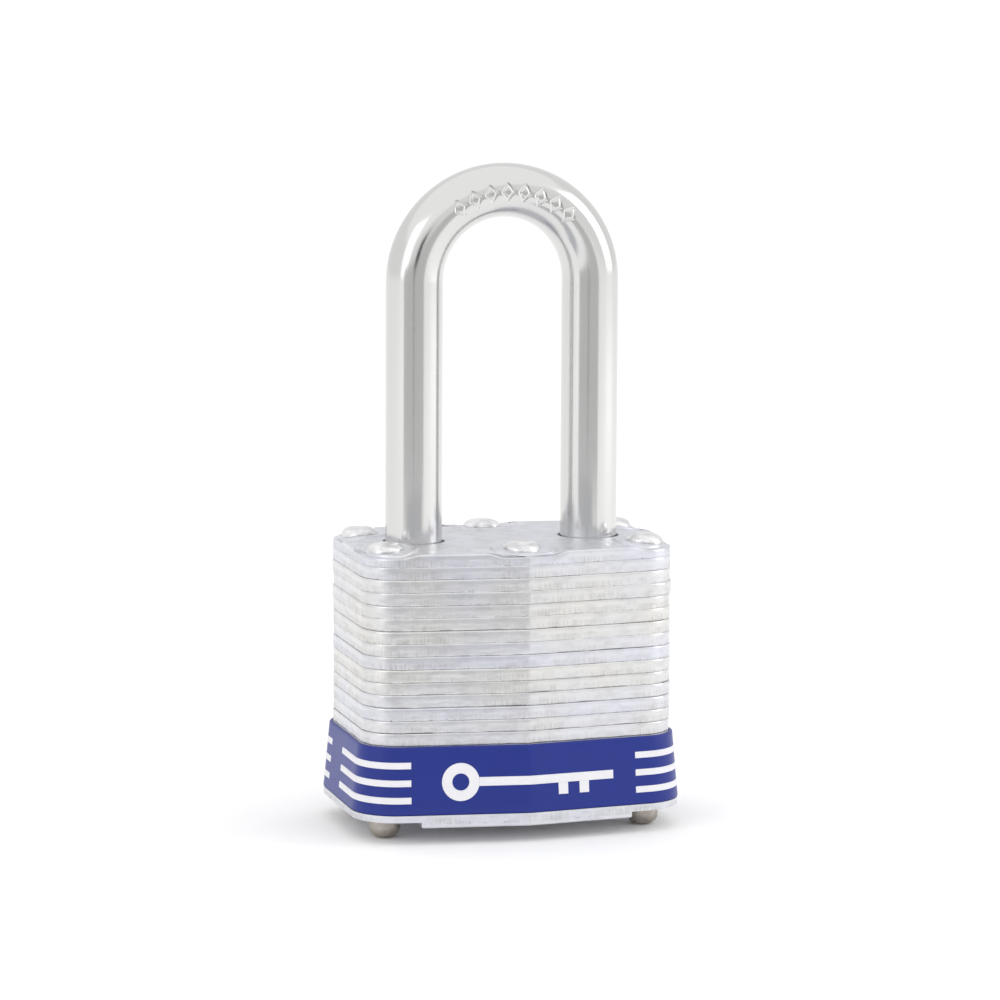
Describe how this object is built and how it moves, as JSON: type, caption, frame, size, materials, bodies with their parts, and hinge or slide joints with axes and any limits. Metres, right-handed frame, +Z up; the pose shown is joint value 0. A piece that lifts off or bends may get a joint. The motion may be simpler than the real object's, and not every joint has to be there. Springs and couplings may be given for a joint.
{
  "type": "padlock",
  "caption": "Laminated steel padlock with a long round shackle, a flared vinyl bumper round its base, and a keyed cylinder in its underside.",
  "frame": {"origin": "on the surface it stands on, midway between the four rivet feet, under the centre of the body", "axes": "+Z up along the shackle; +X towards the shackle's toe leg; -Y is the front"},
  "size_m": [0.0422, 0.029, 0.0831],
  "materials": {
    "steel_plate": "zinc-plated laminated steel plate with sheared edges",
    "steel_rivet": "zinc-plated peened steel",
    "vinyl_bumper": "blue moulded vinyl with printed white stripes",
    "chrome_bar": "polished nickel and chromium plate on hardened steel",
    "hard_steel": "hardened steel, as stamped",
    "spring_wire": "spring steel wire",
    "turned_brass": "turned and drilled brass",
    "cast_zinc": "die-cast zinc"
  },
  "bodies": {
    "body": {"top_plate": "steel_plate", "guide_plate_1": "steel_plate", "guide_plate_2": "steel_plate", "guide_plate_3": "steel_plate", "lever_plate_1": "steel_plate", "lever_plate_2": "steel_plate", "cam_plate": "steel_plate", "retainer_plate": "steel_plate", "cylinder_plate_01": "steel_plate", "cylinder_plate_02": "steel_plate", "cylinder_plate_03": "steel_plate", "cylinder_plate_04": "steel_plate", "cylinder_plate_05": "steel_plate", "cylinder_plate_06": "steel_plate", "cylinder_plate_07": "steel_plate", "cylinder_plate_08": "steel_plate", "cylinder_plate_09": "steel_plate", "cylinder_plate_10": "steel_plate", "cylinder_plate_11": "steel_plate", "cylinder_plate_12": "steel_plate", "bottom_plate": "steel_plate", "bumper": "vinyl_bumper", "corner_rivets": "steel_rivet", "middle_rivets": "steel_rivet", "shackle_retainer": "hard_steel", "shackle_spring": "spring_wire", "lever_springs": "spring_wire", "cylinder_housing": "turned_brass", "chamber_cover": "turned_brass", "pin_spring_1": "spring_wire", "pin_spring_2": "spring_wire", "pin_spring_3": "spring_wire", "pin_spring_4": "spring_wire"},
    "shackle": {"shackle": "chrome_bar"},
    "plug": {"plug": "turned_brass", "plug_clip": "spring_wire", "cam": "cast_zinc"},
    "toe_lever": {"toe_lever": "hard_steel"},
    "heel_lever": {"heel_lever": "hard_steel"},
    "key_pin_1": {"key_pin_1": "turned_brass"},
    "driver_pin_1": {"driver_pin_1": "turned_brass"},
    "key_pin_2": {"key_pin_2": "turned_brass"},
    "driver_pin_2": {"driver_pin_2": "turned_brass"},
    "key_pin_3": {"key_pin_3": "turned_brass"},
    "driver_pin_3": {"driver_pin_3": "turned_brass"},
    "key_pin_4": {"key_pin_4": "turned_brass"},
    "driver_pin_4": {"driver_pin_4": "turned_brass"}
  },
  "joints": [
    {"name": "shackle_lift", "type": "slide", "parent": "body", "child": "shackle", "axis": [0, 0, 1], "range_m": [0, 0.012], "deforming": ["shackle_spring"]},
    {"name": "plug_turn", "type": "hinge", "parent": "body", "child": "plug", "pos_m": [0, 0, 0.012], "axis": [0, 0, 1], "range_deg": [-90, 0]},
    {"name": "toe_lever_slide", "type": "slide", "parent": "body", "child": "toe_lever", "axis": [-1, 0, 0], "range_m": [-0.0015, 0], "deforming": ["lever_springs"]},
    {"name": "heel_lever_slide", "type": "slide", "parent": "body", "child": "heel_lever", "axis": [1, 0, 0], "range_m": [-0.0015, 0]},
    {"name": "key_pin_1_slide", "type": "slide", "parent": "plug", "child": "key_pin_1", "axis": [-1, 0, 0], "range_m": [-0.00175, 0]},
    {"name": "key_pin_2_slide", "type": "slide", "parent": "plug", "child": "key_pin_2", "axis": [-1, 0, 0], "range_m": [-0.00235, 0]},
    {"name": "key_pin_3_slide", "type": "slide", "parent": "plug", "child": "key_pin_3", "axis": [-1, 0, 0], "range_m": [-0.00145, 0]},
    {"name": "key_pin_4_slide", "type": "slide", "parent": "plug", "child": "key_pin_4", "axis": [-1, 0, 0], "range_m": [-0.00205, 0]},
    {"name": "driver_pin_1_slide", "type": "slide", "parent": "body", "child": "driver_pin_1", "axis": [0, 1, 0], "range_m": [0, 0.0012], "stiffness_N_per_m": 120, "springref_m": -0.003, "deforming": ["pin_spring_1"]},
    {"name": "driver_pin_2_slide", "type": "slide", "parent": "body", "child": "driver_pin_2", "axis": [0, 1, 0], "range_m": [0, 0.0012], "stiffness_N_per_m": 120, "springref_m": -0.003, "deforming": ["pin_spring_2"]},
    {"name": "driver_pin_3_slide", "type": "slide", "parent": "body", "child": "driver_pin_3", "axis": [0, 1, 0], "range_m": [0, 0.0012], "stiffness_N_per_m": 120, "springref_m": -0.003, "deforming": ["pin_spring_3"]},
    {"name": "driver_pin_4_slide", "type": "slide", "parent": "body", "child": "driver_pin_4", "axis": [0, 1, 0], "range_m": [0, 0.0012], "stiffness_N_per_m": 120, "springref_m": -0.003, "deforming": ["pin_spring_4"]}
  ],
  "couplings": [
    {"joint": "plug_turn", "follows": "toe_lever_slide", "rad_per_m": 1047.2},
    {"joint": "heel_lever_slide", "follows": "toe_lever_slide", "ratio": 1}
  ]
}
